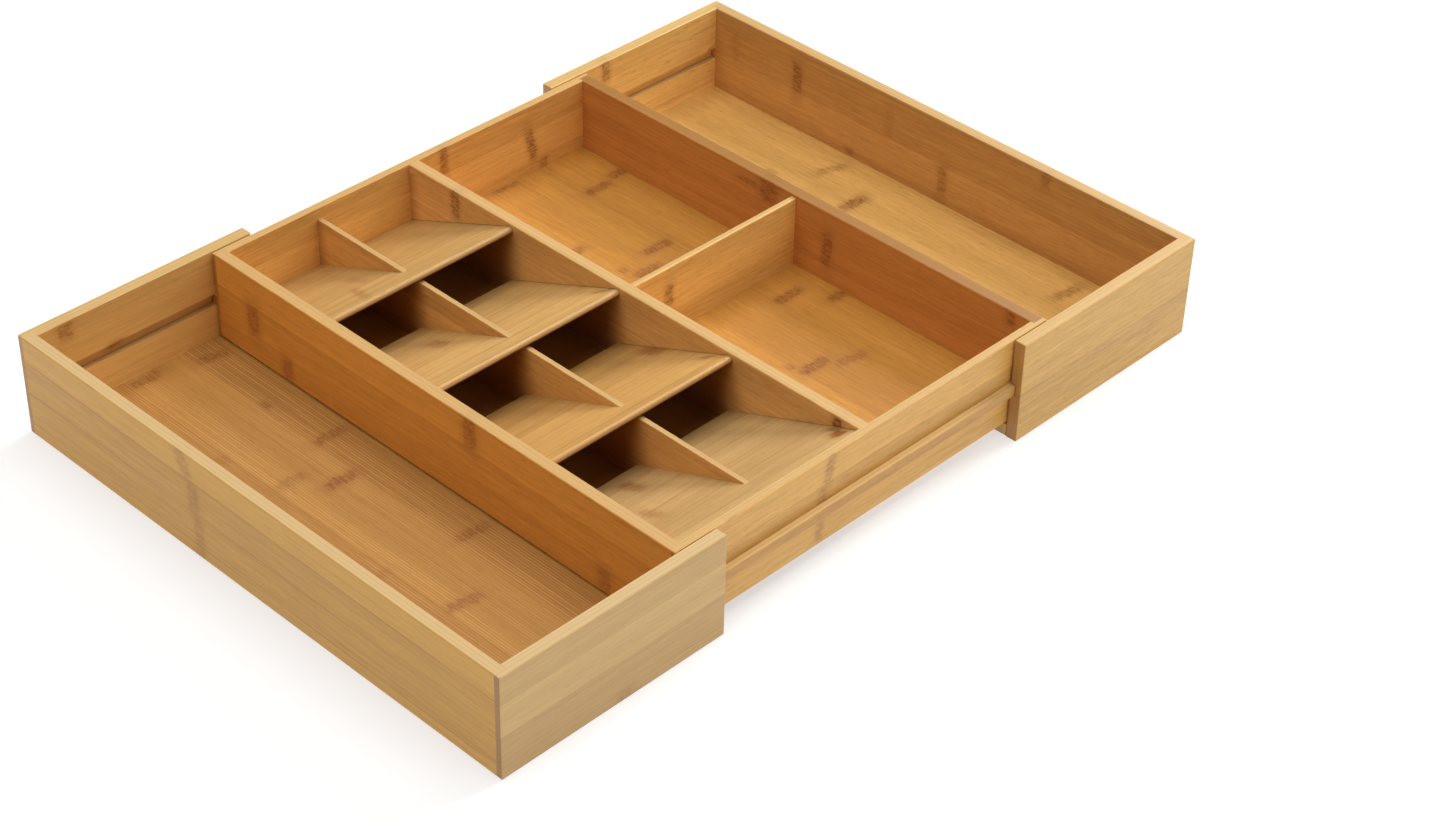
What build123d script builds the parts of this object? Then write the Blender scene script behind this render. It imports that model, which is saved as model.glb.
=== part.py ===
from build123d import *

import os
from math import atan2, cos, sin

# Expanding bamboo drawer organiser: a centre tray on two rails, with an end tray
# sliding over each end of it. Millimetres, X along the extension, Y across, Z up.
# The origin is the middle of the footprint, on the surface that the trays rest on.

# Overall size, drawn fully extended
EXTENDED_LENGTH = 560.0
WIDTH = 400.0
HEIGHT = 68.0

# End trays
END_TRAY_LENGTH = 159.0
END_TRAY_WALL = 8.0
END_TRAY_FLOOR = 8.0
END_TRAY_RABBET = 4.0

# Centre tray
CENTRE_LENGTH = 301.0
CENTRE_END_WALL = 8.0
CENTRE_SIDE_WALL = 5.5
CENTRE_RABBET = 2.7
CENTRE_TOP = 67.5
CENTRE_BOTTOM = 9.0
CENTRE_FLOOR_TOP = 17.5
CENTRE_FLOOR_THICKNESS = 5.0
DADO_DEPTH = 2.5

# Sliding fit
SIDE_CLEARANCE = 1.0
GROOVE_MIDDLE = 34.0
GROOVE_HEIGHT = 7.6
GROOVE_DEPTH = 4.0
RAIL_HEIGHT = 6.8
RAIL_PROUD = 4.5

# Dividers
SECTION_DIVIDER = 8.0
COMPARTMENT_DIVIDER = 4.0
COMPARTMENT_DIVIDER_TOP = 65.3

# Sloped ramps that jars or utensils lean on, numbered from the rear wall to the front wall
RAMP_COUNT = 4
RAMP_THICKNESS = 4.2
RAMP_PITCH = 91.0
FIRST_LIP_Y = 92.7
RAMP_LIP_Z = 66.1
RAMP_LOW_Z = 27.2
RAMP_UNDERLAP = 1.2
LIP_RADIUS = 2.0
RAMP_SLOT_CLEARANCE = 0.25

# Upright fins that split each ramp into two slots. All but the first run on under the
# ramp behind and stand on the floor there.
FIN_THICKNESS = 3.5
FIN_X = -74.8
FIN_TOP = 60.0
FIN_TONGUE = 1.5
FIN_REACH = 60.0
FIN_GAP = 0.2

# Rounded edges
EDGE_RADIUS = 0.8
SMALL_EDGE_RADIUS = 0.5

# Places that follow from the sizes above
END_X = EXTENDED_LENGTH / 2
OUTER_Y = WIDTH / 2
END_INNER_X = END_X - END_TRAY_WALL
OUTER_INNER_Y = OUTER_Y - END_TRAY_WALL
TRAY_MOUTH_X = END_X - END_TRAY_LENGTH
CENTRE_X = CENTRE_LENGTH / 2
CENTRE_INNER_X = CENTRE_X - CENTRE_END_WALL
CENTRE_Y = OUTER_INNER_Y - SIDE_CLEARANCE
CENTRE_INNER_Y = CENTRE_Y - CENTRE_SIDE_WALL
DIVIDER_X = SECTION_DIVIDER / 2

# How far a cutting block runs past the wood, and how exactly an edge is looked up
CUT = 1.0
SAME_PLACE = 0.01


def block(x, y, z):
    """Box between two limits along each axis."""
    size = [high - low for low, high in (x, y, z)]
    middle = [(high + low) / 2 for low, high in (x, y, z)]
    return Pos(*middle) * Box(*size)


def lies_on(edge, axis, value):
    """True for an edge whose middle has the given distance from the origin along an axis."""
    middle = edge.center(CenterOf.BOUNDING_BOX)
    return abs(abs(getattr(middle, axis)) - value) < SAME_PLACE


def end_tray_walls():
    """The left tray's three walls in one piece, with every exposed edge rounded."""
    outside = block((-END_X, -TRAY_MOUTH_X), (-OUTER_Y, OUTER_Y), (0, HEIGHT))
    inside = block(
        (-END_INNER_X, -TRAY_MOUTH_X + CUT),
        (-OUTER_INNER_Y, OUTER_INNER_Y),
        (-CUT, HEIGHT + CUT),
    )
    walls = outside - inside
    top = walls.edges().group_by(Axis.Z)[-1]
    bottom = [
        edge
        for edge in walls.edges().group_by(Axis.Z)[0]
        if lies_on(edge, "Y", OUTER_Y) or lies_on(edge, "X", END_X)
    ]
    upright = [
        edge
        for edge in walls.edges().filter_by(Axis.Z)
        if lies_on(edge, "Y", OUTER_Y) or lies_on(edge, "X", TRAY_MOUTH_X)
    ]
    return fillet([*top, *bottom, *upright], EDGE_RADIUS)


def end_tray_boards():
    """The four boards of the left tray: two side walls lap the ends of the end wall."""
    walls = end_tray_walls()
    lap_y = OUTER_Y - END_TRAY_RABBET
    whole_height = (0, HEIGHT)
    skin = block((-END_X, -TRAY_MOUTH_X), (-OUTER_Y, -lap_y), whole_height)
    core = block((-END_INNER_X, -TRAY_MOUTH_X), (-lap_y, -OUTER_INNER_Y), whole_height)
    groove = block(
        (-END_INNER_X, -TRAY_MOUTH_X + CUT),
        (-OUTER_INNER_Y - GROOVE_DEPTH, -OUTER_INNER_Y + CUT),
        (GROOVE_MIDDLE - GROOVE_HEIGHT / 2, GROOVE_MIDDLE + GROOVE_HEIGHT / 2),
    )
    front_wall = (walls & (skin + core)) - groove
    end_wall = walls & block((-END_X, -END_INNER_X), (-lap_y, lap_y), whole_height)
    floor = block(
        (-END_INNER_X, -TRAY_MOUTH_X),
        (-OUTER_INNER_Y, OUTER_INNER_Y),
        (0, END_TRAY_FLOOR),
    )
    mouth_edges = [
        edge for edge in floor.edges().filter_by(Axis.Y) if lies_on(edge, "X", TRAY_MOUTH_X)
    ]
    return {
        "end_wall": end_wall,
        "front_wall": front_wall,
        "rear_wall": mirror(front_wall, about=Plane.XZ),
        "floor": fillet(mouth_edges, SMALL_EDGE_RADIUS),
    }


def centre_walls():
    """Centre tray walls and the divider across them in one piece, exposed edges rounded."""
    outside = block(
        (-CENTRE_X, CENTRE_X), (-CENTRE_Y, CENTRE_Y), (CENTRE_BOTTOM, CENTRE_TOP)
    )
    pocket = block(
        (DIVIDER_X, CENTRE_INNER_X),
        (-CENTRE_INNER_Y, CENTRE_INNER_Y),
        (CENTRE_BOTTOM - CUT, CENTRE_TOP + CUT),
    )
    walls = outside - pocket - mirror(pocket, about=Plane.YZ)
    top = walls.edges().group_by(Axis.Z)[-1]
    bottom = [
        edge
        for edge in walls.edges().group_by(Axis.Z)[0]
        if lies_on(edge, "Y", CENTRE_Y) or lies_on(edge, "X", CENTRE_X)
    ]
    upright = [edge for edge in walls.edges().filter_by(Axis.Z) if lies_on(edge, "Y", CENTRE_Y)]
    return fillet([*top, *bottom, *upright], EDGE_RADIUS)


def ramp_line(index):
    """Both ends of the top line of ramp `index`: (low y, low z), (high y, high z)."""
    low_y = CENTRE_INNER_Y
    if index > 0:
        low_y = FIRST_LIP_Y - (index - 1) * RAMP_PITCH + RAMP_UNDERLAP
    high_y = FIRST_LIP_Y - index * RAMP_PITCH
    if index == RAMP_COUNT - 1:
        high_y = -CENTRE_INNER_Y
    return (low_y, RAMP_LOW_Z), (high_y, RAMP_LIP_Z)


def ramp_profile(index):
    """Side outline of a ramp board: rounded lip, or a flush end at the front wall."""
    (low_y, low_z), (high_y, high_z) = ramp_line(index)
    slope = atan2(high_z - low_z, low_y - high_y)
    drop = RAMP_THICKNESS / cos(slope)
    flush_end = (high_y, high_z - drop)
    square_end = (high_y - RAMP_THICKNESS * sin(slope), high_z - RAMP_THICKNESS * cos(slope))
    last = index == RAMP_COUNT - 1
    outline = Polyline(
        (low_y, low_z),
        (high_y, high_z),
        flush_end if last else square_end,
        (low_y, low_z - drop),
        close=True,
    )
    profile = make_face(outline)
    if last:
        return profile
    lip_corners = profile.vertices().sort_by(Axis.X)[:2]
    return fillet(lip_corners, LIP_RADIUS)


def across(profile, x_from, x_to):
    """Solid from a side outline, drawn as (y, z), spanning two X positions."""
    return Pos(x_from, 0, 0) * extrude(Plane.YZ * profile, amount=x_to - x_from)


def ramp_board(index):
    """One sloped board, let into the left wall and the section divider."""
    left = -CENTRE_INNER_X - DADO_DEPTH
    right = -DIVIDER_X + DADO_DEPTH
    return across(ramp_profile(index), left, right)


def ramp_slot(index):
    """The pocket that a ramp board needs, a little larger than the board all round."""
    outline = offset(ramp_profile(index), amount=RAMP_SLOT_CLEARANCE)
    left = -CENTRE_INNER_X - DADO_DEPTH - RAMP_SLOT_CLEARANCE
    right = -DIVIDER_X + DADO_DEPTH + RAMP_SLOT_CLEARANCE
    return across(outline, left, right)


def fin_behind(index):
    """Outline points of the part of a fin that stands under the ramp behind it."""
    (behind_low_y, behind_low_z), (lip_y, lip_z) = ramp_line(index - 1)
    rise = (lip_z - behind_low_z) / (behind_low_y - lip_y)
    drop = RAMP_THICKNESS / cos(atan2(lip_z - behind_low_z, behind_low_y - lip_y)) + FIN_GAP
    low_y = ramp_line(index)[0][0]
    back_y = low_y + FIN_REACH
    return [
        (low_y, CENTRE_FLOOR_TOP),
        (back_y, CENTRE_FLOOR_TOP),
        (back_y, lip_z - drop - (back_y - lip_y) * rise),
        (lip_y + (lip_z - drop - FIN_TOP) / rise, FIN_TOP),
    ]


def ramp_fin(index):
    """Fin on a ramp: level top, tongue along the slope, foot under the ramp behind."""
    (low_y, low_z), (high_y, high_z) = ramp_line(index)
    rise = (high_z - low_z) / (low_y - high_y)
    tip_y = low_y - (FIN_TOP + FIN_TONGUE - low_z) / rise
    back = fin_behind(index) if index > 0 else [(low_y, FIN_TOP)]
    corners = [(tip_y, FIN_TOP), (low_y, low_z - FIN_TONGUE), *back]
    outline = make_face(Polyline(*corners, close=True))
    fin = across(outline, FIN_X - FIN_THICKNESS / 2, FIN_X + FIN_THICKNESS / 2)
    top_edges = fin.edges().filter_by(Axis.Y).group_by(Axis.Z)[-1]
    return fillet(top_edges, SMALL_EDGE_RADIUS)


def centre_boards():
    """The boards of the centre tray, with grooves and dados cut where they meet."""
    walls = centre_walls()
    skin_y = CENTRE_Y - CENTRE_RABBET
    whole_height = (CENTRE_BOTTOM, CENTRE_TOP)
    skin = block((-CENTRE_X, CENTRE_X), (-CENTRE_Y, -skin_y), whole_height)
    core = block((-CENTRE_INNER_X, CENTRE_INNER_X), (-skin_y, -CENTRE_INNER_Y), whole_height)
    floor = block(
        (-CENTRE_INNER_X - DADO_DEPTH, CENTRE_INNER_X + DADO_DEPTH),
        (-CENTRE_INNER_Y - DADO_DEPTH, CENTRE_INNER_Y + DADO_DEPTH),
        (CENTRE_FLOOR_TOP - CENTRE_FLOOR_THICKNESS, CENTRE_FLOOR_TOP),
    )
    compartment_divider = block(
        (DIVIDER_X - DADO_DEPTH, CENTRE_INNER_X + DADO_DEPTH),
        (-COMPARTMENT_DIVIDER / 2, COMPARTMENT_DIVIDER / 2),
        (CENTRE_FLOOR_TOP, COMPARTMENT_DIVIDER_TOP),
    )
    rounded = compartment_divider.edges().filter_by(Axis.X).group_by(Axis.Z)[-1]
    compartment_divider = fillet(rounded, EDGE_RADIUS)
    end_region = block((-CENTRE_X, -CENTRE_INNER_X), (-skin_y, skin_y), whole_height)
    divider_region = block(
        (-DIVIDER_X, DIVIDER_X),
        (-CENTRE_INNER_Y, CENTRE_INNER_Y),
        (CENTRE_FLOOR_TOP, CENTRE_TOP),
    )
    front_wall = (walls & (skin + core)) - floor
    left_wall = (walls & end_region) - floor
    right_wall = (walls & mirror(end_region, about=Plane.YZ)) - floor - compartment_divider
    section_divider = (walls & divider_region) - compartment_divider
    for index in range(RAMP_COUNT):
        slot = ramp_slot(index)
        left_wall -= slot
        section_divider -= slot
    return {
        "centre_front_wall": front_wall,
        "centre_rear_wall": mirror(front_wall, about=Plane.XZ),
        "centre_left_wall": left_wall,
        "centre_right_wall": right_wall,
        "centre_floor": floor,
        "section_divider": section_divider,
        "compartment_divider": compartment_divider,
    }


def ramps_and_fins():
    """Every ramp, grooved for its fin, and every fin."""
    pieces = {}
    for index in range(RAMP_COUNT):
        fin = ramp_fin(index)
        pieces[f"ramp_{index + 1}"] = ramp_board(index) - fin
        pieces[f"ramp_fin_{index + 1}"] = fin
    return pieces


def rails():
    """The two rails glued along the outer faces of the centre tray's side walls."""
    rail = block(
        (-CENTRE_X, CENTRE_X),
        (-CENTRE_Y - RAIL_PROUD, -CENTRE_Y),
        (GROOVE_MIDDLE - RAIL_HEIGHT / 2, GROOVE_MIDDLE + RAIL_HEIGHT / 2),
    )
    outer_edges = rail.edges().filter_by(Axis.X).group_by(Axis.Y)[0]
    front = fillet(outer_edges, SMALL_EDGE_RADIUS)
    return {"front_rail": front, "rear_rail": mirror(front, about=Plane.XZ)}


def organiser():
    """Every piece of the organiser by name."""
    pieces = {**centre_boards(), **ramps_and_fins(), **rails()}
    for name, board in end_tray_boards().items():
        pieces[f"left_tray_{name}"] = board
        pieces[f"right_tray_{name}"] = mirror(board.solid(), about=Plane.YZ)
    return {name: piece.solid() for name, piece in pieces.items()}


def main():
    os.makedirs("parts", exist_ok=True)
    for name, piece in organiser().items():
        export_step(piece, f"parts/{name}.step")
        print(f"{name}: {piece.volume / 1000:.1f} cm3")


main()
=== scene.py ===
"""Looks of an expanding bamboo drawer organiser: its boards, a pale floor and soft light."""

import logging
import math
from dataclasses import dataclass, replace
from enum import Enum

import bpy
import numpy as np
from mathutils import Matrix, Vector

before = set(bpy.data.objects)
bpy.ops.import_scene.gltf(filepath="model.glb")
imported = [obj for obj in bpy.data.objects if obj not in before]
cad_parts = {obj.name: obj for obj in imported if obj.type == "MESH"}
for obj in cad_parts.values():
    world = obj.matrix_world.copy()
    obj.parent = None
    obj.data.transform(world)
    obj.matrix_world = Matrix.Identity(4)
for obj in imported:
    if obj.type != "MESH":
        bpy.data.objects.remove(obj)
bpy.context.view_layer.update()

LOG = logging.getLogger("organiser")

# Millimetres in a metre. Places on a board are in millimetres from here on.
MM = 1000.0

# The painted shade in a wall's rail groove, which stands in for the shadow at its back: its middle
# above the wall's foot, half its height, which takes in the groove's floor and roof, how far the
# groove's back lies from the wall's outer face, and the widths over which the shade fades in.
GROOVE_MIDDLE = 34.0
GROOVE_SHADE_HALF = 4.2
GROOVE_BACK = 4.0
GROOVE_FADE_HEIGHT = 0.3
GROOVE_FADE_DEPTH = 0.4

# The ramps: where the first one's lip is, how far apart the lips are, how much a ramp falls for
# each millimetre towards the rear, and about how high a lip's underside is.
FIRST_LIP = 92.7
RAMP_PITCH = 91.0
RAMP_RISE = 0.4225
LIP_UNDERSIDE = 62.0

# The painted shade below the ramps: how dark it is, there and on the covered floor, where it starts in
# front of a lip and over what distance it grows, its soft upper edge, and how deep it goes into a
# board's left side.
SHELTERED_SHADE = 0.66
SHADE_START = 10.0
SHADE_GROWTH = 22.0
SHADE_EDGE = (-1.0, 1.5)
SHADE_DEPTH = 5.0
SHADE_DEPTH_FADE = 0.5

# The painted shade on the covered floor, to the left of the section divider, fades out over this
# distance.
COVERED_FADE = 4.0

# A board's lowest face lies this far into its first layer, so that no layer's border falls on it.
FACE_INSET = 0.4

# How far a body colour's red, green and blue go up in the palest fibres and down in the deepest,
# for a spread of 1.
PALE_LIFT = (0.8, 1.0, 1.35)
DEEP_DROP = (0.8, 1.0, 1.2)

# How wide the strips sway, how far a strip's grain is moved by its own random numbers, and the
# share that the middle grain has of the broad grain's contrast.
SWAY_REACH = 1.6
STRIP_JUMP = (300.0, 0.0, 40.0)
MIDDLE_SHARE = 0.8

# Where a face starts to count as a cut end or a long edge, and where it fully is one, as the size
# of its normal's part that way, and the same for an underside, which gets painted shade, as the
# normal's upward part.
FACING = (0.75, 0.95)
UNDERSIDE = (0.2, -0.4)

# The layers show on long edges as lines: their share of brown, and a line's outer and inner reach,
# as shares of a layer. A glue seam's outer and inner reach are shares of a strip.
LAYER_LINE_SHARE = 0.35
LAYER_LINE = (0.12, 0.02)
SEAM_REACH = (0.024, 0.006)

# Where a rib starts to rise and where it is full, as shares of its pitch, and how strongly the
# ribs show on every other strip.
RIB_REACH = (0.10, 0.40)
DULL_STRIP = 0.7

# The cross marks: how wide they waver along the fibres, their soft outer and inner edges and those
# of the stain round them, as shares of a mark's size, the stain's share, the darkest that a mark
# may be, and a size through the board that has no end.
WAVER_REACH = 7.0
MARK_EDGE = (1.7, 0.5)
STAIN_EDGE = (5.0, 0.6)
STAIN_SHARE = 0.26
MARK_LIMIT = 0.92
ENDLESS = 1e6

# A pattern is moved by its shift times these numbers along, across and through the board.
SHIFT_WAYS = (1.0, 0.7, 1.3)
NOISE_ROUGHNESS = 0.6

Colour = tuple[float, float, float]
Place = tuple[float, float, float]
Socket = bpy.types.NodeSocket
Value = float | tuple | Socket


def from_screen(red: int, green: int, blue: int) -> Colour:
    """A linear colour from the 0 to 255 values that a screen shows.

    Each value v becomes ((v / 255 + 0.055) / 1.055) to the power 2.4.

    Args:
        red: Screen red.
        green: Screen green.
        blue: Screen blue.

    Returns:
        The linear red, green and blue.
    """
    return tuple(((value / 255 + 0.055) / 1.055) ** 2.4 for value in (red, green, blue))


class Grain(Enum):
    """How a board was cut: the way its fibres run, and the way its strips lie side by side."""

    CROSS_UPRIGHT = ((0, 1, 0), (0, 0, 1))
    LONG_UPRIGHT = ((1, 0, 0), (0, 0, 1))
    CROSS_FLAT = ((0, 1, 0), (1, 0, 0))
    LONG_SLOPED = ((1, 0, 0), (0, 0.921, -0.389))

    def axes(self) -> Matrix:
        """The turn that takes the row frame to along, across and through the board.

        Returns:
            A 3 by 3 rotation whose rows are the fibre way, the strip way and their cross product.
        """
        along = Vector(self.value[0]).normalized()
        across = Vector(self.value[1]).normalized()
        return Matrix((along, across, along.cross(across)))


@dataclass(frozen=True)
class Figure:
    """A noise pattern in the wood, by its waves per millimetre along, across and through a board.

    shift moves it away from the other patterns, and detail is how many finer layers it has. As a
    share it climbs from least, where the noise is under start, to most, where it is over end.
    """

    along: float
    across: float
    through: float
    shift: float = 0.0
    detail: float = 2.0
    start: float = 0.0
    end: float = 1.0
    least: float = 0.0
    most: float = 1.0


SWAY = Figure(0.007, 0.02, 0.02, detail=1.0)
BROAD_GRAIN = Figure(0.004, 0.11, 0.2, 3.1)
MIDDLE_GRAIN = Figure(0.010, 0.55, 0.6, 7.7)
FINE_GRAIN = Figure(0.055, 1.0, 1.0, 9.4)
STREAKS = Figure(0.0045, 0.5, 0.5, 15.0, 1.0, 0.64, 0.76)
PORES = Figure(0.13, 1.25, 1.25, 21.0, 1.0, 0.58, 0.76)
RIB_PATCHES = Figure(0.008, 0.05, 0.05, 31.0, 1.0, 0.30, 0.55, 0.7)
BRIGHT_RIBS = Figure(0.013, 0.8, 0.3, 35.0, 0.0, 0.34, 0.62, 0.3)
WAVER = Figure(0.04, 0.45, 0.3, 41.0)
HATCHING = Figure(0.24, 0.95, 0.95, 47.0, 2.0, 0.40, 0.60, 0.22, 0.85)
SEAM_STRETCHES = Figure(0.012, 0.04, 0.04, 51.0, 1.0, 0.35, 0.6, 0.25)


class ShaderTree:
    """Adds shader nodes to one material and hands back the sockets that their results leave by."""

    def __init__(self, material: bpy.types.Material) -> None:
        """Empties a material's node tree, ready for new nodes.

        Args:
            material: The material.
        """
        material.use_nodes = True
        self.tree = material.node_tree
        self.tree.nodes.clear()

    def add(self, kind: str, **settings: object) -> bpy.types.ShaderNode:
        """A new node of a kind, with its settings.

        Args:
            kind: The node's type name without the leading "ShaderNode".
            **settings: Properties to set on the node.

        Returns:
            The node.
        """
        node = self.tree.nodes.new("ShaderNode" + kind)
        for name, value in settings.items():
            setattr(node, name, value)
        return node

    def feed(self, socket: Socket, value: Value) -> None:
        """Links a socket to another node's result, or sets it to a plain value.

        Args:
            socket: The input to feed.
            value: A socket, a number, or a tuple for a vector or a colour.
        """
        if isinstance(value, bpy.types.NodeSocket):
            self.tree.links.new(value, socket)
        elif socket.type == "RGBA":
            socket.default_value = (*value, 1.0)
        else:
            socket.default_value = value

    def feed_all(self, node: bpy.types.ShaderNode, values: tuple[Value, ...]) -> None:
        """Feeds a node's inputs in order, as many as there are values."""
        for socket, value in zip(node.inputs, values):
            self.feed(socket, value)

    def maths(self, operation: str, *values: Value) -> Socket:
        """The result of a Math node.

        Args:
            operation: The node's operation.
            *values: Its inputs in order.

        Returns:
            The result.
        """
        node = self.add("Math", operation=operation)
        self.feed_all(node, values)
        return node.outputs[0]

    def vector(self, operation: str, *values: Value) -> Socket:
        """The result of a Vector Math node, which is a number for LENGTH.

        Args:
            operation: The node's operation.
            *values: Its inputs in order.

        Returns:
            The result.
        """
        node = self.add("VectorMath", operation=operation)
        self.feed_all(node, values)
        return node.outputs["Value" if operation == "LENGTH" else "Vector"]

    def split(self, vector: Socket) -> tuple[Socket, Socket, Socket]:
        """The three numbers that a vector holds.

        Args:
            vector: The vector.

        Returns:
            Its three parts.
        """
        node = self.add("SeparateXYZ")
        self.feed(node.inputs[0], vector)
        return tuple(node.outputs)

    def join(self, *values: Value) -> Socket:
        """A vector of up to three numbers, with 0 for those that aren't given.

        Args:
            *values: The numbers.

        Returns:
            The vector.
        """
        node = self.add("CombineXYZ")
        self.feed_all(node, values)
        return node.outputs[0]

    def step(
        self, value: Value, start: float, end: float, low: float = 0.0, high: float = 1.0
    ) -> Socket:
        """A smooth climb from low to high as a value goes from start to end.

        Args:
            value: The value to look at.
            start: Where the climb starts, above or below end.
            end: Where it ends.
            low: The result up to the start.
            high: The result past the end.

        Returns:
            The result.
        """
        node = self.add("MapRange", interpolation_type="SMOOTHSTEP")
        names = ("Value", "From Min", "From Max", "To Min", "To Max")
        for name, given in zip(names, (value, start, end, low, high)):
            self.feed(node.inputs[name], given)
        return node.outputs["Result"]

    def noise(self, place: Socket, figure: Figure, seed: float, fineness: float = 1.0) -> Socket:
        """Noise from 0 to 1 that is drawn out along the fibres.

        Args:
            place: Where on the board, along, across and through it.
            figure: The pattern.
            seed: Moves the pattern, so that no two boards are alike.
            fineness: How many times closer together the waves across the board are.

        Returns:
            The noise.
        """
        stretch = (figure.along, figure.across * fineness, figure.through)
        shift = tuple((seed + figure.shift) * way for way in SHIFT_WAYS)
        node = self.add("TexNoise")
        self.feed(node.inputs["Vector"], self.vector("MULTIPLY_ADD", place, stretch, shift))
        node.inputs["Scale"].default_value = 1.0
        node.inputs["Detail"].default_value = figure.detail
        node.inputs["Roughness"].default_value = NOISE_ROUGHNESS
        return node.outputs["Fac"]

    def share(self, place: Socket, figure: Figure, seed: float, fineness: float = 1.0) -> Socket:
        """How strongly a noise pattern shows.

        Args:
            place: Where on the board.
            figure: The pattern.
            seed: Moves the pattern.
            fineness: How many times closer together the waves across the board are.

        Returns:
            A share from the figure's least to its most.
        """
        noise = self.noise(place, figure, seed, fineness)
        return self.step(noise, figure.start, figure.end, figure.least, figure.most)

    def mix(self, share: Value, first: Value, second: Value) -> Socket:
        """A colour between two others.

        Args:
            share: 0 for the first colour, 1 for the second.
            first: A colour.
            second: Another colour.

        Returns:
            The mixed colour.
        """
        node = self.add("Mix", data_type="RGBA")
        colours = [socket for socket in node.inputs if socket.type == "RGBA"]
        self.feed(node.inputs["Factor"], share)
        self.feed(colours[0], first)
        self.feed(colours[1], second)
        return next(socket for socket in node.outputs if socket.type == "RGBA")

    def show(self, shader: Socket) -> None:
        """Makes a shader the material's surface."""
        self.feed(self.add("OutputMaterial").inputs["Surface"], shader)


@dataclass(frozen=True)
class Knuckle:
    """A cross mark where the cane had a joint, in millimetres.

    along is measured from the organiser's middle, and across from the board's lowest or left edge,
    or for a ramp from its lip. strength is 1 for a plain mark and less for a faint one. lean is how
    far the mark's far side runs on along the fibres, in degrees.
    """

    along: float
    across: float
    half_width: float = 10.5
    half_length: float = 3.8
    strength: float = 1.0
    lean: float = 0.0


@dataclass(frozen=True)
class Lacquer:
    """The clear satin lacquer over the bamboo, which lets the fibres be felt."""

    dullest: float = 0.52
    glossiest: float = 0.40
    dull_under: float = 0.2
    glossy_over: float = 0.8
    specular: float = 0.42
    coat: float = 0.08
    coat_roughness: float = 0.35
    relief_strength: float = 0.4
    relief_height: float = 0.00008
    middle_relief: float = 0.6

    def cover(
        self, tree: ShaderTree, colour: Socket, middle: Socket, fine: Socket, dark: Socket
    ) -> None:
        """Makes the lacquered surface over a colour.

        Args:
            tree: The material's nodes.
            colour: The wood's colour.
            middle: The middle grain, which is glossier and higher where it is strong.
            fine: The fine grain, which is higher where it is strong.
            dark: The cross marks' share, which lie lower.
        """
        shader = tree.add("BsdfPrincipled")
        tree.feed(shader.inputs["Base Color"], colour)
        gloss = tree.step(middle, self.dull_under, self.glossy_over, self.dullest, self.glossiest)
        tree.feed(shader.inputs["Roughness"], gloss)
        shader.inputs["Specular IOR Level"].default_value = self.specular
        shader.inputs["Coat Weight"].default_value = self.coat
        shader.inputs["Coat Roughness"].default_value = self.coat_roughness
        fibres = tree.maths("MULTIPLY_ADD", middle, self.middle_relief, fine)
        bump = tree.add("Bump")
        bump.inputs["Strength"].default_value = self.relief_strength
        bump.inputs["Distance"].default_value = self.relief_height
        tree.feed(bump.inputs["Height"], tree.maths("SUBTRACT", fibres, dark))
        tree.feed(shader.inputs["Normal"], bump.outputs[0])
        tree.show(shader.outputs[0])


@dataclass(frozen=True)
class Wood:
    """What the layers of one board's pattern share.

    place holds millimetres along, across and through the board, and strips counts the strips
    across it, with a seam at each whole number.
    """

    tree: ShaderTree
    grain: Grain
    seed: float
    place: Socket
    across: Socket
    through: Socket
    strips: Socket


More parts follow.
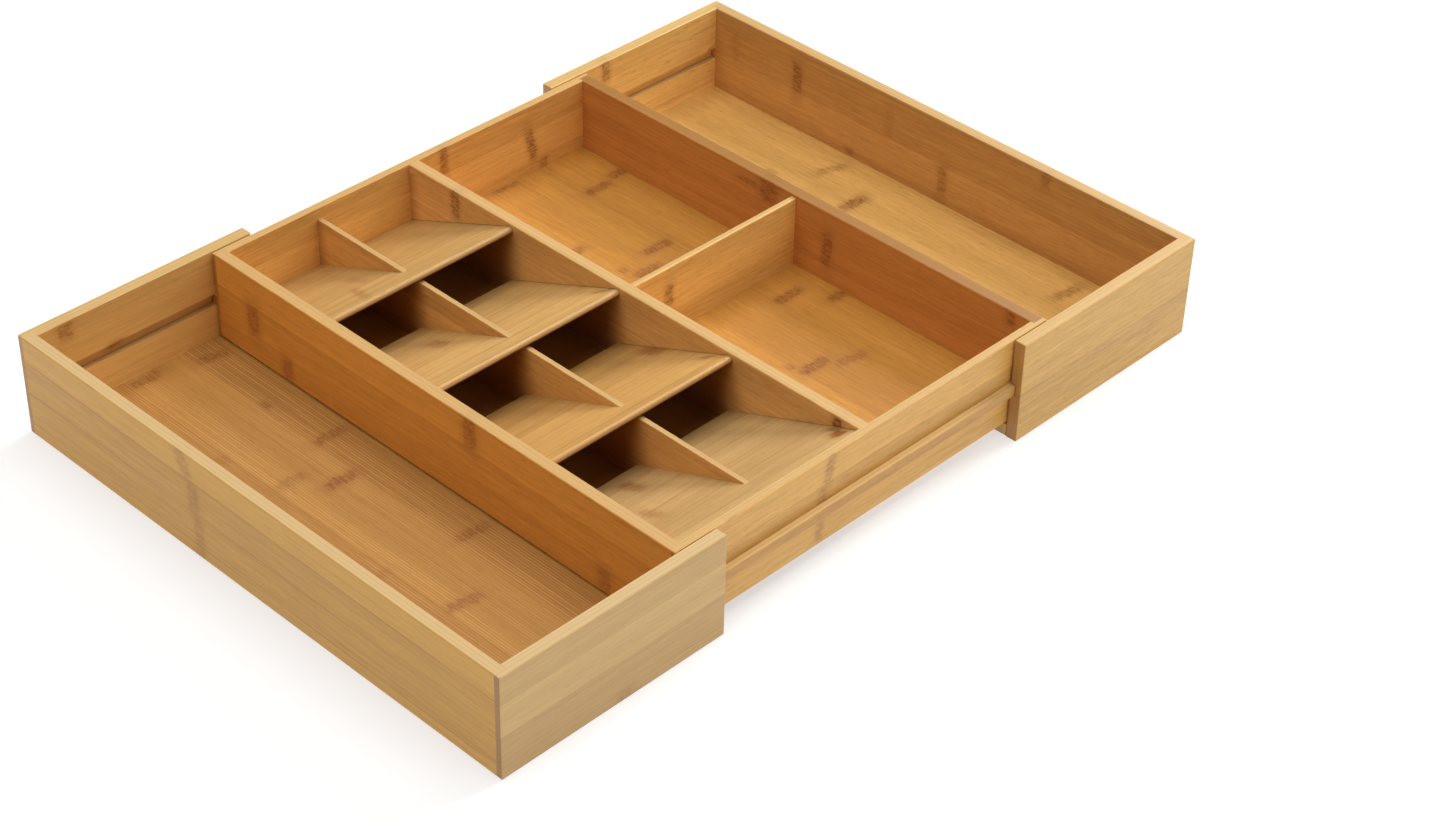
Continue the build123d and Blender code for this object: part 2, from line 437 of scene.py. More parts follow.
@dataclass(frozen=True)
class BambooFinish:
    """Strip-laminated bamboo.

    The contrasts and shares are what each layer of the pattern may change the colour by. covered_to
    is how far across the board a painted shade lies, and 0 leaves it out, as it does any share.
    """

    body: Colour = from_screen(204, 153, 78)
    mark: Colour = from_screen(136, 76, 30)
    end_grain: Colour = from_screen(150, 98, 50)
    edge: Colour = from_screen(190, 156, 102)
    # The colour of the painted shade.
    shadowed: Colour = from_screen(102, 41, 12)
    rib: Colour = from_screen(216, 166, 98)
    strip_width: float = 21.4
    layer: float = 2.6
    fineness: float = 1.0
    spread: float = 0.30
    strip_contrast: float = 0.16
    streak_contrast: float = 0.42
    fibre_contrast: float = 0.75
    pore_share: float = 0.30
    rib_contrast: float = 0.0
    rib_pitch: float = 1.75
    line_strength: float = 0.22
    seam_strength: float = 0.14
    end_share: float = 0.7
    edge_share: float = 0.8
    # These shares paint shade: in a rail groove, on undersides, on the covered floor and below the
    # ramps.
    groove_shade_share: float = 0.0
    underside_shade_share: float = 0.0
    covered_to: float = 0.0
    sheltered_shade_share: float = 0.0
    lacquer: Lacquer = Lacquer()

    @property
    def pale(self) -> Colour:
        """The body colour of the palest fibres."""
        return tuple(part * (1 + self.spread * lift) for part, lift in zip(self.body, PALE_LIFT))

    @property
    def deep(self) -> Colour:
        """The body colour of the deepest fibres."""
        return tuple(part * (1 - self.spread * drop) for part, drop in zip(self.body, DEEP_DROP))

    def make(
        self,
        name: str,
        grain: Grain,
        corner: Vector,
        seed: float,
        first_seam: float,
        knuckles: tuple[Knuckle, ...],
    ) -> bpy.types.Material:
        """The material of one board.

        The board is a solid pattern: strips side by side across it, layers through it, and noise
        drawn out along the fibres, so faces, edges and ends all agree where they meet.

        Args:
            name: The material's name.
            grain: How the board was cut.
            corner: The board's lowest place along, across and through, in millimetres.
            seed: Makes this board's pattern its own.
            first_seam: How far across the first seam between two strips lies, in millimetres.
            knuckles: The cross marks on it.

        Returns:
            The material.
        """
        material = bpy.data.materials.new(name)
        wood = self._lay_out(ShaderTree(material), grain, corner, seed, first_seam)
        tree = wood.tree
        luck = self._luck(wood)
        own_place = tree.vector("MULTIPLY_ADD", luck, STRIP_JUMP, wood.place)
        middle = tree.noise(own_place, MIDDLE_GRAIN, seed, self.fineness)
        fine = tree.noise(own_place, FINE_GRAIN, seed, self.fineness)

        colour = self._fibres(wood, own_place, luck, middle, fine)
        if self.rib_contrast:
            colour = self._ribs(wood, colour)
        streaks = tree.maths("MULTIPLY", tree.share(own_place, STREAKS, seed), self.line_strength)
        colour = tree.mix(streaks, colour, self.end_grain)
        pores = tree.share(wood.place, replace(PORES, most=self.pore_share), seed, self.fineness)
        colour = tree.mix(pores, colour, self.mark)
        colour = tree.mix(self._seams(wood), colour, self.mark)
        dark, stain = self._knuckles(wood, knuckles)
        colour = tree.mix(stain, colour, self.end_grain)
        colour = tree.mix(dark, colour, self.mark)
        colour = self._faces(wood, colour)
        colour = self._shade(wood, colour)
        self.lacquer.cover(tree, colour, middle, fine, dark)
        return material

    def _lay_out(
        self, tree: ShaderTree, grain: Grain, corner: Vector, seed: float, first_seam: float
    ) -> Wood:
        """Measures a board along, across and through, and counts its strips, which sway a little.

        Args:
            tree: The material's nodes.
            grain: How the board was cut.
            corner: The board's lowest place along, across and through.
            seed: Makes this board's pattern its own.
            first_seam: How far across the first seam lies.

        Returns:
            What the layers of the pattern share.
        """
        mapping = tree.add("Mapping", vector_type="POINT")
        tree.feed(mapping.inputs["Vector"], tree.add("TexCoord").outputs["Object"])
        mapping.inputs["Scale"].default_value = (MM, MM, MM)
        mapping.inputs["Rotation"].default_value = grain.axes().to_euler("XYZ")
        mapping.inputs["Location"].default_value = (0.0, -corner.y, FACE_INSET - corner.z)
        place = mapping.outputs[0]
        _, across, through = tree.split(place)
        swayed = tree.maths("MULTIPLY_ADD", tree.noise(place, SWAY, seed), SWAY_REACH, across)
        from_seam = tree.maths("SUBTRACT", swayed, first_seam + SWAY_REACH / 2)
        strips = tree.maths("DIVIDE", from_seam, self.strip_width)
        return Wood(tree, grain, seed, place, across, through, strips)

    def _luck(self, wood: Wood) -> Socket:
        """Three random numbers, from 0 to 1, for each strip of each layer.

        Args:
            wood: The board.

        Returns:
            The numbers, as a colour.
        """
        tree = wood.tree
        layer = tree.maths("FLOOR", tree.maths("DIVIDE", wood.through, self.layer))
        white = tree.add("TexWhiteNoise", noise_dimensions="3D")
        tree.feed(white.inputs["Vector"], tree.join(tree.maths("FLOOR", wood.strips), layer, wood.seed))
        return white.outputs["Color"]

    def _fibres(
        self, wood: Wood, own_place: Socket, luck: Socket, middle: Socket, fine: Socket
    ) -> Socket:
        """The bare wood: each strip's own tone, with broad, middle and fine grain on top.

        Args:
            wood: The board.
            own_place: The place, moved by each strip's own random numbers.
            luck: The strip's random numbers.
            middle: The middle grain.
            fine: The fine grain.

        Returns:
            The colour, from deep to pale.
        """
        tree = wood.tree
        own_tone = tree.split(luck)[0]
        tone = tree.maths("MULTIPLY_ADD", own_tone, self.strip_contrast * 2, 0.5 - self.strip_contrast)
        broad = tree.noise(own_place, BROAD_GRAIN, wood.seed)
        for noise, contrast in (
            (broad, self.streak_contrast),
            (middle, self.streak_contrast * MIDDLE_SHARE),
            (fine, self.fibre_contrast),
        ):
            centred = tree.maths("SUBTRACT", noise, 0.5)
            tone = tree.maths("MULTIPLY_ADD", centred, contrast, tone)
        return tree.mix(tree.step(tone, 0.0, 1.0), self.deep, self.pale)

    def _ribs(self, wood: Wood, colour: Socket) -> Socket:
        """Adds bright, close ribs, strongest on every other strip, cut near the cane's skin.

        A rib is the middle of each stretch of rib_pitch across the board, as a triangle wave, and a
        noise drawn out along the fibres makes some ribs brighter than others.

        Args:
            wood: The board.
            colour: The colour so far.

        Returns:
            The colour with the ribs.
        """
        tree = wood.tree
        every_other = tree.maths("PINGPONG", tree.maths("FLOOR", wood.strips), 1.0)
        skin = tree.step(every_other, 0.0, 1.0, 1.0, DULL_STRIP)
        patch = tree.share(wood.place, RIB_PATCHES, wood.seed)
        count = tree.maths("MULTIPLY", wood.strips, self.strip_width / self.rib_pitch)
        wave = tree.maths("PINGPONG", count, 0.5)
        bright = tree.share(wood.place, BRIGHT_RIBS, wood.seed)
        ribs = tree.maths("MULTIPLY", tree.step(wave, *RIB_REACH), bright)
        share = tree.maths("MULTIPLY", tree.maths("MULTIPLY", patch, skin), self.rib_contrast)
        return tree.mix(tree.maths("MULTIPLY", share, ribs), colour, self.rib)

    def _seams(self, wood: Wood) -> Socket:
        """How dark the thin glue line between two strips is, which comes and goes along it.

        Args:
            wood: The board.

        Returns:
            The share.
        """
        tree = wood.tree
        near = tree.step(tree.maths("PINGPONG", wood.strips, 0.5), *SEAM_REACH)
        shown = tree.maths("MULTIPLY", near, tree.share(wood.place, SEAM_STRETCHES, wood.seed))
        return tree.maths("MULTIPLY", shown, self.seam_strength)

    @staticmethod
    def _knuckles(wood: Wood, knuckles: tuple[Knuckle, ...]) -> tuple[Socket, Value]:
        """How dark the cross marks are, and the faint stain round them.

        Each mark is a bar with rounded corners: with a and b the place along and across it over its
        half sizes, it is where the root of a to the fourth plus b to the fourth is below 1. The
        place is first moved along the fibres by a noise, which wavers the bar, and fine noise drawn
        out along the fibres hatches it. A mark of strength 2 or more is nearly solid.

        Args:
            wood: The board.
            knuckles: The marks.

        Returns:
            The dark share and the stain's share, which is plain 0 on a board with no marks.
        """
        tree = wood.tree
        waver = tree.noise(wood.place, WAVER, wood.seed)
        sideways = tree.maths("MULTIPLY_ADD", waver, WAVER_REACH, -WAVER_REACH / 2)
        bent = tree.vector("ADD", wood.place, tree.join(sideways))
        bars: Value = 0.0
        stains: Value = 0.0
        for knuckle in knuckles:
            bar = tree.add("Mapping", vector_type="TEXTURE")
            tree.feed(bar.inputs["Vector"], bent)
            bar.inputs["Location"].default_value = (knuckle.along, knuckle.across, 0.0)
            bar.inputs["Rotation"].default_value = (0.0, 0.0, -math.radians(knuckle.lean))
            bar.inputs["Scale"].default_value = (knuckle.half_length, knuckle.half_width, ENDLESS)
            squared = tree.vector("MULTIPLY", bar.outputs[0], bar.outputs[0])
            reach = tree.vector("LENGTH", squared)
            bar_share = tree.step(reach, *MARK_EDGE, 0.0, knuckle.strength)
            stain_share = tree.step(reach, *STAIN_EDGE, 0.0, STAIN_SHARE * min(knuckle.strength, 1.0))
            bars = tree.maths("MAXIMUM", bar_share, bars)
            stains = tree.maths("MAXIMUM", stain_share, stains)
        hatched = tree.maths("MULTIPLY", bars, tree.share(wood.place, HATCHING, wood.seed))
        return tree.maths("MINIMUM", hatched, MARK_LIMIT), stains

    def _faces(self, wood: Wood, colour: Socket) -> Socket:
        """Browner wood on cut ends, on long edges paler wood with the layers' lines, and on
        undersides painted shade.

        Args:
            wood: The board.
            colour: The colour so far.

        Returns:
            The colour with its ends and edges.
        """
        tree = wood.tree
        normal = tree.add("NewGeometry").outputs["Normal"]
        along, across = (tuple(map(abs, axis)) for axis in wood.grain.value)
        end = tree.vector("LENGTH", tree.vector("MULTIPLY", normal, along))
        colour = tree.mix(tree.step(end, *FACING, 0.0, self.end_share), colour, self.end_grain)
        edge = tree.vector("LENGTH", tree.vector("MULTIPLY", normal, across))
        colour = tree.mix(tree.step(edge, *FACING, 0.0, self.edge_share), colour, self.edge)
        layer = tree.maths("PINGPONG", tree.maths("DIVIDE", wood.through, self.layer), 0.5)
        on_edge = tree.step(edge, *FACING, 0.0, LAYER_LINE_SHARE)
        lines = tree.maths("MULTIPLY", tree.step(layer, *LAYER_LINE), on_edge)
        colour = tree.mix(lines, colour, self.end_grain)
        # Painted shade on undersides, where little light comes.
        if self.underside_shade_share:
            underside = tree.step(tree.split(normal)[2], *UNDERSIDE, 0.0, self.underside_shade_share)
            colour = tree.mix(underside, colour, self.shadowed)
        return colour

    def _shade(self, wood: Wood, colour: Socket) -> Socket:
        """Paints shade on the places that little light comes to: grooves, covered floor, below the
        ramps.

        Args:
            wood: The board.
            colour: The colour so far.

        Returns:
            The colour with its shade.
        """
        tree = wood.tree
        # Painted shade on the back of a wall's rail groove, in the mark colour.
        if self.groove_shade_share:
            level = tree.maths("ABSOLUTE", tree.maths("SUBTRACT", wood.across, GROOVE_MIDDLE))
            at_level = tree.step(level, GROOVE_SHADE_HALF, GROOVE_SHADE_HALF - GROOVE_FADE_HEIGHT)
            past_back = tree.step(wood.through, GROOVE_BACK - GROOVE_FADE_DEPTH, GROOVE_BACK)
            inside = tree.maths("MULTIPLY", at_level, past_back)
            colour = tree.mix(tree.maths("MULTIPLY", inside, self.groove_shade_share), colour, self.mark)
        # Painted shade on the floor that the ramps cover.
        if self.covered_to:
            full_to = self.covered_to - COVERED_FADE
            covered = tree.step(wood.across, self.covered_to, full_to, 0.0, SHELTERED_SHADE)
            colour = tree.mix(covered, colour, self.shadowed)
        # Painted shade below the ramps.
        if self.sheltered_shade_share:
            colour = tree.mix(self._shade_below_ramps(wood), colour, self.shadowed)
        return colour

    def _shade_below_ramps(self, wood: Wood) -> Socket:
        """How much painted shade a board's left side gets below the ramps.

        With b the distance behind the nearest lip in front, it is the wood lower than the ramp's
        underside, at LIP_UNDERSIDE less RAMP_RISE times b. It grows over SHADE_GROWTH millimetres,
        from SHADE_START in front of the lip.

        Args:
            wood: The board.

        Returns:
            The share.
        """
        tree = wood.tree
        _, rearwards, height = tree.split(tree.add("TexCoord").outputs["Object"])
        from_start = tree.maths("MULTIPLY_ADD", rearwards, MM, SHADE_START - FIRST_LIP)
        behind = tree.maths("FLOORED_MODULO", from_start, RAMP_PITCH)
        top = LIP_UNDERSIDE + RAMP_RISE * SHADE_START
        underside = tree.maths("MULTIPLY_ADD", behind, -RAMP_RISE, top)
        below = tree.maths("MULTIPLY_ADD", height, -MM, underside)
        growth = tree.step(behind, 0.0, SHADE_GROWTH)
        share = tree.maths("MULTIPLY", tree.step(below, *SHADE_EDGE), growth)
        inner = SHADE_DEPTH - SHADE_DEPTH_FADE
        left_side = tree.step(wood.through, SHADE_DEPTH, inner, 0.0, self.sheltered_shade_share)
        return tree.maths("MULTIPLY", share, left_side)


@dataclass(frozen=True)
class Board:
    """One board of the organiser, kept as the frame holds it and given its own bamboo."""

    node: str
    grain: Grain
    finish: BambooFinish
    seed: float
    first_seam: float
    knuckles: tuple[Knuckle, ...] = ()

    def dress(self) -> bpy.types.Object:
        """Gives the board its bamboo.

        Returns:
            The board's object.
        """
        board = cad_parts[self.node]
        name = "bamboo_" + self.node
        corner = self.corner(board)
        material = self.finish.make(name, self.grain, corner, self.seed, self.first_seam, self.knuckles)
        if not board.material_slots:
            board.data.materials.append(material)
        board.material_slots[0].material = material
        LOG.info("%s dressed, %d knuckles", self.node, len(self.knuckles))
        return board

    def corner(self, board: bpy.types.Object) -> Vector:
        """The board's lowest place along, across and through, in millimetres.

        Each vertex is turned from the row frame to the board's own axes, and the least of each
        number is kept.

        Args:
            board: The board's object.

        Returns:
            The lowest place.
        """
        flat = np.empty(len(board.data.vertices) * 3, np.float32)
        board.data.vertices.foreach_get("co", flat)
        places = flat.reshape(-1, 3) @ np.array(self.grain.axes()).T
        return Vector(places.min(axis=0) * MM)


PALE_EDGE = from_screen(199, 171, 123)
CHAIN = from_screen(156, 90, 38)
WALL = BambooFinish()
SMOOTH_WALL = replace(WALL, fibre_contrast=0.4, pore_share=0.14)
# The rails' long edges are paler than other boards', as painted light that lifts the shade where a rail
# meets its wall.
RAIL = replace(WALL, body=from_screen(201, 147, 70), edge=from_screen(232, 196, 134))
FLOOR = BambooFinish(strip_contrast=0.2)
RIBBED_FLOOR = replace(FLOOR, rib_contrast=0.7, fineness=1.35)
RAMP = BambooFinish(
    strip_width=20.0,
    strip_contrast=0.1,
    line_strength=0.45,
    seam_strength=0.35,
    streak_contrast=0.45,
    fibre_contrast=0.5,
    edge_share=0.2,
    # Painted shade on the ramps' undersides.
    underside_shade_share=0.75,
)
UPRIGHT, LONG = Grain.CROSS_UPRIGHT, Grain.LONG_UPRIGHT
FLAT, SLOPED = Grain.CROSS_FLAT, Grain.LONG_SLOPED


@dataclass
class EndTray:
    """The open tray at one end of the organiser: three walls and a floor."""

    end_wall: Board
    front_wall: Board
    rear_wall: Board
    floor: Board

    def build(self) -> list[bpy.types.Object]:
        """Dresses the tray's walls and floor."""
        return [board.dress() for board in (self.end_wall, self.front_wall, self.rear_wall, self.floor)]


@dataclass
class LeftTray(EndTray):
    """The end tray on the left, whose floor shows the ribs of the cane."""

    end_wall: Board = Board(
        "left_tray_end_wall",
        UPRIGHT,
        replace(
            WALL,
            body=from_screen(205, 152, 63),
            mark=CHAIN,
            edge=PALE_EDGE,
            seam_strength=0.6,
            line_strength=0.12,
            fibre_contrast=0.5,
            pore_share=0.16,
        ),
        seed=10.0,
        first_seam=8.0,
        knuckles=(
            Knuckle(51.0, 60.0, 8.5, 4.2, 0.5, 25.0),
            Knuckle(44.5, 40.0, 10.0, 4.2, 0.5, 4.0),
            Knuckle(42.0, 14.0, 14.0, 3.6, 0.42),
        ),
    )
    front_wall: Board = Board(
        "left_tray_front_wall",
        LONG,
        replace(
            SMOOTH_WALL,
            body=from_screen(205, 166, 103),
            edge=PALE_EDGE,
            line_strength=0.10,
            streak_contrast=0.34,
        ),
        seed=11.0,
        first_seam=7.0,
        knuckles=(Knuckle(-195.0, 3.5, 3.5, 5.0, 0.3),),
    )
    rear_wall: Board = Board(
        "left_tray_rear_wall",
        LONG,
        replace(
            SMOOTH_WALL,
            body=from_screen(233, 190, 114),
            mark=CHAIN,
            line_strength=0.1,
            streak_contrast=0.3,
            # Painted shade in the rail groove.
            groove_shade_share=0.3,
        ),
        seed=12.0,
        first_seam=17.0,
        knuckles=(
            Knuckle(-254.0, 61.0, 5.5, 4.6, 0.75),
            Knuckle(-222.0, 35.5, 3.0, 4.5, 0.9),
        ),
    )
    floor: Board = Board(
        "left_tray_floor",
        FLAT,
        replace(RIBBED_FLOOR, body=from_screen(177, 127, 60), streak_contrast=0.28),
        seed=13.0,
        first_seam=9.2,
        knuckles=(
            Knuckle(-51.0, 106.0, 10.5, 3.2, 0.64, -6.0),
            Knuckle(70.0, 106.0, 10.5, 3.4, 0.72),
            Knuckle(177.0, 106.0, 9.5, 3.4, 0.72, -8.0),
            Knuckle(118.0, 98.0, 2.4, 3.4, 0.72),
            Knuckle(34.0, 84.5, 10.5, 3.9, 0.8),
            Knuckle(-92.0, 63.0, 10.5, 3.4, 0.64, -5.0),
            Knuckle(53.0, 63.0, 10.0, 3.4, 0.4),
            Knuckle(186.0, 63.0, 10.0, 3.4, 0.72),
            Knuckle(-44.0, 47.0, 6.0, 3.0, 0.28),
            Knuckle(95.0, 48.0, 4.0, 4.0, 0.28),
            Knuckle(14.0, 20.0, 10.5, 3.4, 0.56),
            Knuckle(150.0, 20.0, 10.5, 3.4, 0.56),
        ),
    )


@dataclass
class RightTray(EndTray):
    """The end tray on the right, whose floor is paler than the left one's."""

    end_wall: Board = Board(
        "right_tray_end_wall",
        UPRIGHT,
        replace(WALL, body=from_screen(199, 151, 84)),
        seed=20.0,
        first_seam=15.0,
        knuckles=(
            Knuckle(-92.0, 63.0, 5.5, 3.0, 0.6),
            Knuckle(36.0, 47.0, 10.0, 3.0, 0.25),
            Knuckle(173.0, 47.0, 10.0, 3.0, 0.25),
            Knuckle(117.0, 46.5, 10.5, 3.8, 1.0),
            Knuckle(-11.0, 25.5, 10.5, 3.2, 0.65),
            Knuckle(68.0, 12.0, 2.2, 3.0, 0.7),
        ),
    )
    front_wall: Board = Board(
        "right_tray_front_wall",
        LONG,
        replace(WALL, body=from_screen(214, 166, 85)),
        seed=21.0,
        first_seam=12.0,
    )
    rear_wall: Board = Board(
        "right_tray_rear_wall",
        LONG,
        # Paler body than the other walls', partly the board's own tone and partly painted light that
        # lifts the shade on its inner face.
        replace(WALL, body=from_screen(248, 205, 121), streak_contrast=0.3, fibre_contrast=0.5),
        seed=22.0,
        first_seam=12.0,
        knuckles=(
            Knuckle(170.0, 60.5, 7.0, 3.2, 0.8),
            Knuckle(269.0, 37.0, 2.2, 2.5, 0.8),
        ),
    )
    floor: Board = Board(
        "right_tray_floor",
        FLAT,
        replace(FLOOR, body=from_screen(216, 168, 90), strip_contrast=0.15, streak_contrast=0.34),
        seed=23.0,
        first_seam=14.0,
        knuckles=(
            Knuckle(-131.0, 131.5, 10.5, 3.0, 0.7, -10.0),
            Knuckle(65.0, 131.5, 10.5, 3.0, 0.6, -16.0),
            Knuckle(28.0, 110.5, 10.5, 3.6, 1.0),
            Knuckle(90.0, 100.0, 2.5, 4.0, 0.4),
            Knuckle(120.0, 46.0, 10.5, 3.4, 0.8),
            Knuckle(-150.0, 67.5, 10.5, 3.4, 0.8),
            Knuckle(20.0, 67.5, 10.5, 3.4, 0.7),
        ),
    )


@dataclass
class CentreTray:
    """The tray between the end trays, with its floor, dividers and rails."""

    walls: tuple[Board, ...] = (
        Board(
            "centre_front_wall",
            LONG,
            replace(WALL, body=from_screen(221, 168, 84), mark=CHAIN),
            seed=40.0,
            first_seam=19.0,
            knuckles=(
                Knuckle(-32.0, 49.5, 8.5, 3.0, 0.6, 12.0),
                Knuckle(-37.0, 34.0, 5.0, 3.0, 0.45),
                Knuckle(-34.5, 26.0, 3.0, 2.6, 0.8),
                Knuckle(-38.0, 9.5, 6.5, 2.8, 0.5),
            ),
        ),
        Board(
            "centre_rear_wall",
            LONG,
            replace(WALL, body=from_screen(226, 172, 92)),
            seed=41.0,
            first_seam=18.0,
            knuckles=(
                Knuckle(24.0, 49.5, 9.0, 3.0, 0.9),
                Knuckle(97.0, 29.5, 11.0, 3.0, 0.9, -14.0),
                Knuckle(108.0, 12.0, 4.0, 3.0, 0.6),
            ),
        ),
        Board(
            "centre_left_wall",
            UPRIGHT,
            replace(WALL, body=from_screen(216, 152, 67), mark=CHAIN),
            seed=42.0,
            first_seam=17.0,
            knuckles=(
                Knuckle(-33.0, 48.5, 9.5, 4.6, 0.95),
                Knuckle(156.0, 28.0, 10.0, 4.8, 0.95),
                Knuckle(126.0, 8.5, 7.5, 4.4, 0.9),
                Knuckle(-139.0, 9.5, 7.0, 4.2, 0.8),
            ),
        ),
        Board(
            "centre_right_wall",
            UPRIGHT,
            replace(WALL, body=from_screen(187, 124, 59), edge=from_screen(147, 104, 50)),
            seed=43.0,
            first_seam=20.5,
            knuckles=(
                Knuckle(-171.0, 53.5, 5.0, 3.2, 0.9),
                Knuckle(-29.0, 31.5, 11.5, 3.4, 1.0),
                Knuckle(21.0, 50.5, 7.5, 6.5, 1.0),
                Knuckle(38.0, 50.0, 1.8, 8.0, 0.7),
            ),
        ),
    )
    dividers: tuple[Board, ...] = (
        Board(
            "section_divider",
            UPRIGHT,
            # Painted shade on the divider's left side below the ramps.
            replace(WALL, body=from_screen(232, 176, 101), sheltered_shade_share=SHELTERED_SHADE),
            seed=44.0,
            first_seam=11.0,
            knuckles=(
                Knuckle(143.0, 41.0, 9.0, 3.4, 0.9),
                Knuckle(-170.0, 41.0, 7.0, 3.2, 1.6, 8.0),
            ),
        ),
        Board(
            "compartment_divider",
            LONG,
            replace(WALL, body=from_screen(236, 190, 106)),
            seed=45.0,
            first_seam=17.0,
            knuckles=(Knuckle(34.0, 27.5, 7.5, 3.2, 0.75),),
        ),
    )
    rails: tuple[Board, ...] = (
        Board("front_rail", LONG, RAIL, seed=46.0, first_seam=-30.0),
        Board("rear_rail", LONG, RAIL, seed=47.0, first_seam=-30.0),
    )
    floor: Board = Board(
        "centre_floor",
        FLAT,
        replace(
            FLOOR,
            body=from_screen(191, 134, 54),
            strip_contrast=0.12,
            streak_contrast=0.3,
            # Painted shade on the floor under the ramps.
            covered_to=143.0,
        ),
        seed=48.0,
        first_seam=15.0,
        knuckles=(
            Knuckle(-45.0, 282.0, 7.5, 3.2, 0.9),
            Knuckle(147.0, 282.0, 7.5, 3.2, 1.0),
            Knuckle(-24.0, 261.0, 10.5, 3.6, 1.0),
            Knuckle(143.0, 261.0, 10.5, 3.4, 0.9),
            Knuckle(-94.0, 239.7, 10.5, 3.2, 0.6, -10.0),
            Knuckle(69.0, 239.7, 10.5, 3.4, 0.9),
            Knuckle(-84.0, 218.3, 10.5, 3.6, 1.0),
            Knuckle(54.0, 218.3, 10.5, 3.4, 0.9),
            Knuckle(185.0, 218.3, 10.0, 3.4, 0.9),
            Knuckle(-75.0, 207.0, 2.5, 3.0, 0.7),
            Knuckle(64.0, 207.0, 2.5, 3.0, 0.7),
            Knuckle(100.0, 197.0, 10.5, 3.4, 0.8),
            Knuckle(-150.0, 197.0, 10.5, 3.4, 0.8),
            Knuckle(-22.0, 175.0, 10.5, 3.4, 0.8),
        ),
    )

    def build(self) -> list[bpy.types.Object]:
        """Dresses the tray's walls, dividers, rails and floor."""
        return [board.dress() for board in (*self.walls, *self.dividers, *self.rails, self.floor)]


@dataclass
class RampBank:
    """The four sloped ramps and the fins that split them into slots, from the rear to the front."""

    ramp_bodies: tuple[Colour, ...] = (
        from_screen(184, 143, 82),
        from_screen(199, 156, 92),
        from_screen(192, 146, 80),
        from_screen(190, 152, 96),
    )
    ramp_knuckles: tuple[tuple[Knuckle, ...], ...] = (
        (Knuckle(-92.0, 41.6, 10.0, 2.8, 0.45), Knuckle(-108.0, 17.7, 13.0, 2.4, 0.5, 18.0)),
        (Knuckle(-93.0, 61.0, 7.5, 4.0, 0.7), Knuckle(-8.0, 9.0, 5.0, 1.6, 0.9, -42.0)),
        (Knuckle(-9.0, 63.3, 7.5, 4.5, 1.0), Knuckle(-9.0, 15.5, 4.5, 1.6, 0.8, -35.0)),
        (
            Knuckle(-99.0, 84.0, 9.5, 3.6, 0.7),
            Knuckle(-121.0, 45.0, 9.0, 3.2, 0.5),
            Knuckle(-11.0, 9.5, 3.6, 3.6, 2.4),
            Knuckle(-7.0, 16.0, 4.0, 1.7, 1.4, -30.0),
        ),
    )
    ramp_finish: BambooFinish = RAMP
    # Painted shade on the fins below the ramps.
    fin_finish: BambooFinish = replace(WALL, body=from_screen(212, 158, 86), sheltered_shade_share=SHELTERED_SHADE)
    first_seam: float = 8.0
    ramp_seed: float = 70.0
    fin_seed: float = 80.0

    def build(self) -> list[bpy.types.Object]:
        """Dresses every ramp and fin.

        Returns:
            The ramps and fins.
        """
        pieces = []
        for number, (body, knuckles) in enumerate(zip(self.ramp_bodies, self.ramp_knuckles), start=1):
            finish = replace(self.ramp_finish, body=body)
            ramp_seed, fin_seed = self.ramp_seed + number, self.fin_seed + number
            ramp = Board(f"ramp_{number}", SLOPED, finish, ramp_seed, self.first_seam, knuckles)
            fin = Board(f"ramp_fin_{number}", UPRIGHT, self.fin_finish, fin_seed, self.first_seam)
            pieces += [ramp.dress(), fin.dress()]
        return pieces


@dataclass(frozen=True)
class Softbox:
    """A square lamp that faces the organiser's middle, in metres and watts."""

    name: str
    place: Place
    size: float
    watts: float

    def hang(self) -> bpy.types.Object:
        """Puts the lamp in the scene, turned to the middle.

        Returns:
            The lamp's object.
        """
        lamp = bpy.data.lights.new("softbox_" + self.name, "AREA")
        lamp.size = self.size
        lamp.energy = self.watts
        holder = bpy.data.objects.new("softbox_" + self.name, lamp)
        bpy.context.scene.collection.objects.link(holder)
        holder.location = self.place
        holder.rotation_euler = (-Vector(self.place)).to_track_quat("-Z", "Y").to_euler()
        return holder


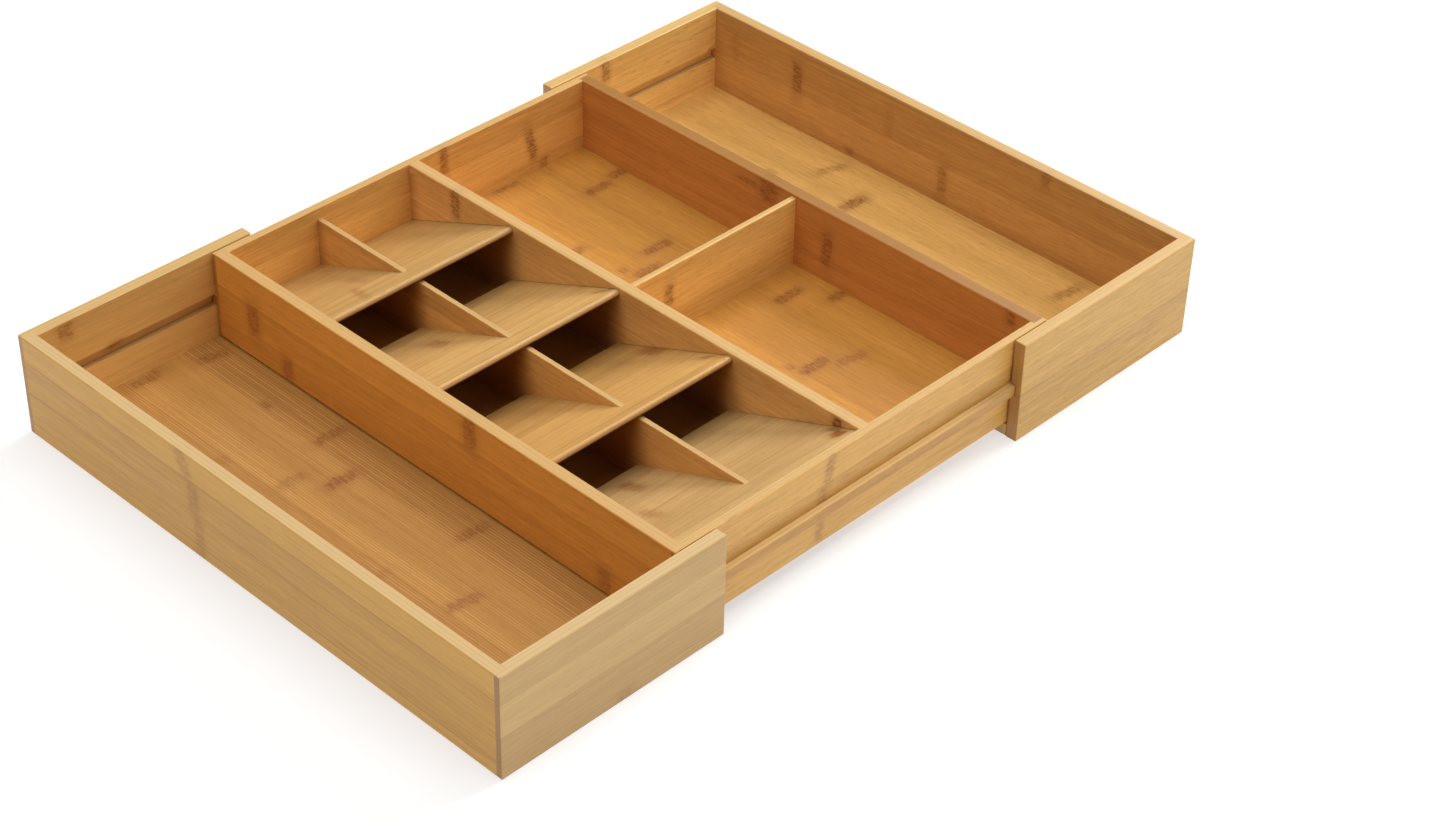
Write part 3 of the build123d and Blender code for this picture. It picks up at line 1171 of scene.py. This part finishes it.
@dataclass
class Studio:
    """The pale floor, the soft light and the camera.

    Places are in metres, turns in degrees, and the camera's lens and sensor in millimetres.
    """

    floor_radius: float = 14.0
    floor_rings: int = 6
    floor_spokes: int = 64
    floor_white: float = 0.5
    floor_glow: float = 0.56
    lamps: tuple[Softbox, ...] = (
        Softbox("overhead", (0.0, 0.0, 2.2), 2.0, 34.0),
        Softbox("right", (2.2, 0.0, 1.6), 1.6, 79.0),
        Softbox("left", (-2.2, 0.0, 1.6), 1.6, 15.0),
        Softbox("rear", (0.0, 2.2, 1.6), 1.6, 11.0),
        Softbox("front", (0.3, -2.2, 1.6), 1.6, 13.0),
    )
    camera_stand: Place = (-0.98292, -1.00304, 1.02953)
    camera_azimuth: float = 43.19
    camera_down: float = 36.95
    camera_roll: float = 1.75
    lens: float = 73.258
    sensor_width: float = 36.0

    def build(self) -> None:
        """Makes the floor, the lamps and the camera."""
        self.lay_floor()
        self.light()
        self.place_camera()
        LOG.info("studio ready, %d lamps", len(self.lamps))

    def lay_floor(self) -> bpy.types.Object:
        """A white disc: point (ring, spoke) lies at radius ring / rings, squared, times the disc's.

        Returns:
            The floor.
        """
        rings, spokes = np.meshgrid(
            np.arange(1, self.floor_rings + 1), np.arange(self.floor_spokes), indexing="ij"
        )
        reach = self.floor_radius * (rings / self.floor_rings) ** 2
        angle = spokes * math.tau / self.floor_spokes
        places = np.stack((reach * np.cos(angle), reach * np.sin(angle), 0.0 * reach), axis=-1)
        places = np.vstack(((0.0, 0.0, 0.0), places.reshape(-1, 3)))
        index = 1 + np.arange(rings.size).reshape(rings.shape)
        after = np.roll(index, -1, axis=1)
        fan = np.stack((np.zeros_like(index[0]), index[0], after[0]), axis=-1)
        quads = np.stack((index[:-1], index[1:], after[1:], after[:-1]), axis=-1).reshape(-1, 4)
        mesh = bpy.data.meshes.new("studio_floor")
        mesh.from_pydata(places.tolist(), [], fan.tolist() + quads.tolist())
        mesh.update()
        mesh.materials.append(self.floor_paint())
        floor = bpy.data.objects.new("studio_floor", mesh)
        bpy.context.scene.collection.objects.link(floor)
        return floor

    def floor_paint(self) -> bpy.types.Material:
        """Matt white that glows a little, so that shadows on it stay faint and neutral.

        Returns:
            The paint.
        """
        paint = bpy.data.materials.new("studio_floor_white")
        tree = ShaderTree(paint)
        white = tree.add("BsdfDiffuse")
        white.inputs["Color"].default_value = (self.floor_white,) * 3 + (1.0,)
        glow = tree.add("Emission")
        glow.inputs["Strength"].default_value = self.floor_glow
        both = tree.add("AddShader")
        tree.feed_all(both, (white.outputs[0], glow.outputs[0]))
        tree.show(both.outputs[0])
        return paint

    def light(self) -> None:
        """Hangs the lamps under a dark sky, and shows colours as they are, with no film look."""
        scene = bpy.context.scene
        scene.world = bpy.data.worlds.new("studio_sky")
        scene.world.use_nodes = True
        scene.world.node_tree.nodes["Background"].inputs["Strength"].default_value = 0.0
        scene.view_settings.view_transform = "Standard"
        for lamp in self.lamps:
            lamp.hang()

    def place_camera(self) -> None:
        """Stands the camera at the front left corner, looking down across the organiser.

        It looks camera_azimuth from +X towards +Y and camera_down below the level, and is then
        rolled about its own line of sight.
        """
        azimuth, down = math.radians(self.camera_azimuth), math.radians(self.camera_down)
        roll = math.radians(self.camera_roll)
        ahead = Vector(
            (math.cos(down) * math.cos(azimuth), math.cos(down) * math.sin(azimuth), -math.sin(down))
        )
        level = ahead.cross(Vector((0, 0, 1))).normalized()
        upright = level.cross(ahead)
        right = level * math.cos(roll) + upright * math.sin(roll)
        up = upright * math.cos(roll) - level * math.sin(roll)
        data = bpy.data.cameras.new("camera")
        data.lens = self.lens
        data.sensor_width = self.sensor_width
        camera = bpy.data.objects.new("camera", data)
        bpy.context.scene.collection.objects.link(camera)
        turn = Matrix((right, up, -ahead)).transposed().to_4x4()
        camera.matrix_world = Matrix.Translation(self.camera_stand) @ turn
        bpy.context.scene.camera = camera


def main() -> None:
    """Builds the organiser's looks and the studio, in order."""
    logging.basicConfig(level=logging.INFO, format="%(name)s: %(message)s")
    Studio().build()
    for part in (LeftTray(), RightTray(), CentreTray(), RampBank()):
        pieces = part.build()
        LOG.info("%s: %d pieces", type(part).__name__, len(pieces))


if __name__ == "__main__":
    main()
